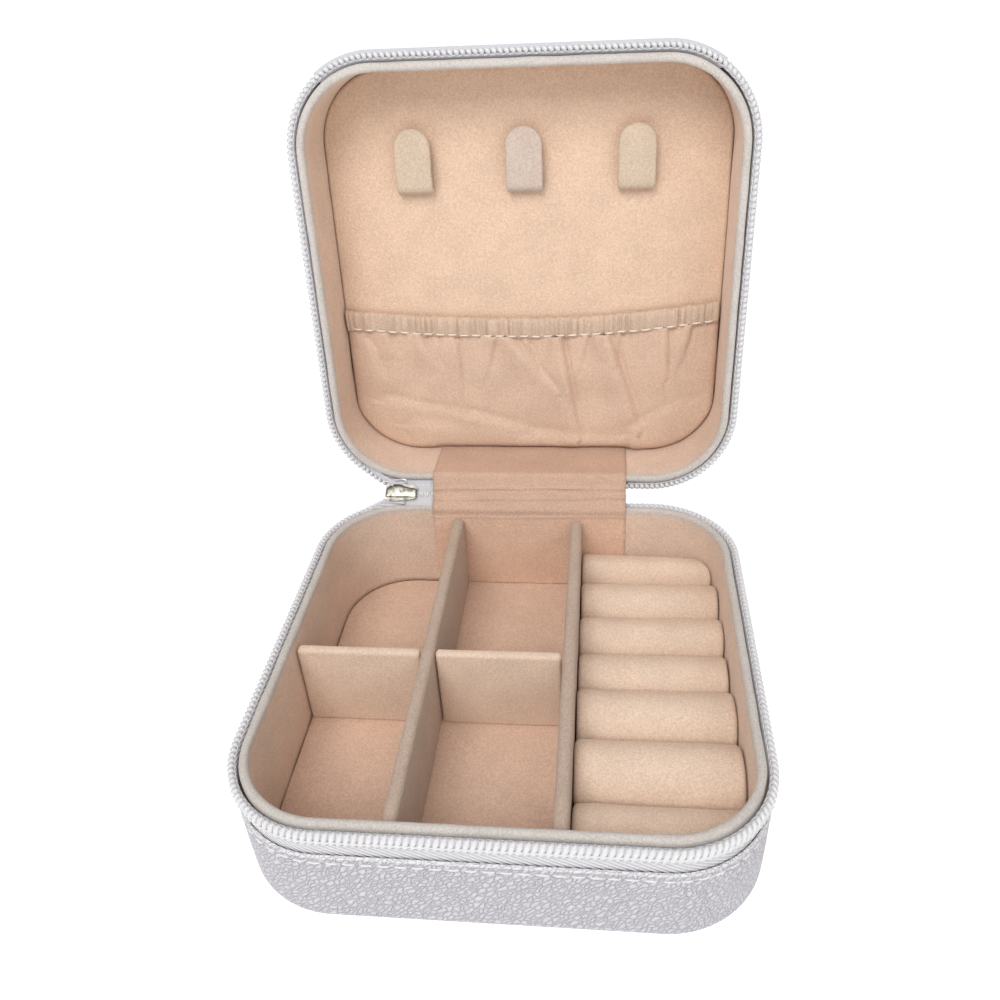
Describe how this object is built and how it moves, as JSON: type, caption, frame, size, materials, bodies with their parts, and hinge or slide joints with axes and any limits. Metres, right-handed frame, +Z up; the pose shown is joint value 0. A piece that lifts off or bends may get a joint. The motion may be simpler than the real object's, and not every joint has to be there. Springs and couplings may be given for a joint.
{
  "type": "jewelry box",
  "caption": "Small square zip-round jewelry box standing open, with velvet tray compartments, ring rolls, and a lid with necklace hooks and a gathered pocket.",
  "frame": {"origin": "centre of the base's flat bottom face, on the table", "axes": "+X to the right seen from the front, +Y to the hinge at the back, +Z up"},
  "size_m": [0.1, 0.1289, 0.1284],
  "materials": {
    "leather": "off-white pebbled imitation leather with a soft satin sheen",
    "velvet": "peach short-pile velvet",
    "rim_velvet": "grey-beige short-pile velvet",
    "hook_velvet": "beige velvet over stiff card",
    "pocket_cloth": "thin peach suede cloth, gathered",
    "zip_tape": "light grey twill tape",
    "zip_coil": "white nylon coil",
    "metal": "bright plated zinc",
    "board": "grey pressed board",
    "foam": "thin foam sheet"
  },
  "bodies": {
    "base": {"base_cover_band": "leather", "base_cover_bottom": "leather", "base_board_wall": "board", "base_board_bottom": "board", "base_zip_tape": "zip_tape", "base_zip_coil": "zip_coil", "base_lining_frame": "rim_velvet", "base_floor_pad": "velvet", "divider_long_left": "rim_velvet", "divider_long_right": "rim_velvet", "ring_card": "board", "ring_roll_1": "velvet", "ring_roll_2": "velvet", "ring_roll_3": "velvet", "ring_roll_4": "velvet", "ring_roll_5": "velvet", "ring_roll_6": "velvet", "ring_roll_7": "velvet", "hinge_spine": "leather", "hinge_lining": "velvet"},
    "lid": {"lid_cover_band": "leather", "lid_cover_top": "leather", "lid_foam": "foam", "lid_board_wall": "board", "lid_board_top": "board", "lid_zip_tape": "zip_tape", "lid_zip_coil": "zip_coil", "lid_lining_frame": "rim_velvet", "lid_panel": "velvet", "necklace_hook_left": "hook_velvet", "necklace_hook_mid": "hook_velvet", "necklace_hook_right": "hook_velvet", "lid_pocket": "pocket_cloth", "pocket_hem": "pocket_cloth"},
    "zip_link": {"zip_closed_stretch": "zip_coil", "zip_end_stop": "metal"},
    "slider": {"zip_slider": "metal"},
    "pull_loop": {"zip_pull_loop": "metal"},
    "pull_tab": {"zip_pull_tab": "metal"},
    "divider_left": {"divider_cross_left": "velvet"},
    "divider_mid": {"divider_cross_mid": "velvet"}
  },
  "joints": [
    {"name": "lid_hinge", "type": "hinge", "parent": "base", "child": "lid", "pos_m": [0, 0.0515, 0.0273], "axis": [-1, 0, 0], "range_deg": [-95.15, 0], "deforming": ["hinge_lining", "hinge_spine"]},
    {"name": "zip_link_turn", "type": "hinge", "parent": "base", "child": "zip_link", "pos_m": [0, 0.0515, 0.0273], "axis": [-1, 0, 0], "range_deg": [-47.6, 0]},
    {"name": "slider_slide", "type": "slide", "parent": "zip_link", "child": "slider", "axis": [-1, 0, 0], "range_m": [0, 0.004]},
    {"name": "pull_loop_hang", "type": "hinge", "parent": "slider", "child": "pull_loop", "pos_m": [-0.0324, 0.05156, 0.0256], "axis": [-1, 0, 0], "range_deg": [0, 47.6]},
    {"name": "pull_tab_swing", "type": "hinge", "parent": "pull_loop", "child": "pull_tab", "pos_m": [-0.0324, 0.05156, 0.02465], "axis": [1, 0, 0], "range_deg": [-4.5, 95]},
    {"name": "divider_left_lift", "type": "slide", "parent": "base", "child": "divider_left", "axis": [0, 0, 1], "range_m": [0, 0.03]},
    {"name": "divider_mid_lift", "type": "slide", "parent": "base", "child": "divider_mid", "axis": [0, 0, 1], "range_m": [0, 0.03]}
  ],
  "couplings": [
    {"joint": "zip_link_turn", "follows": "lid_hinge", "ratio": 0.5},
    {"joint": "pull_loop_hang", "follows": "lid_hinge", "ratio": -0.5}
  ]
}
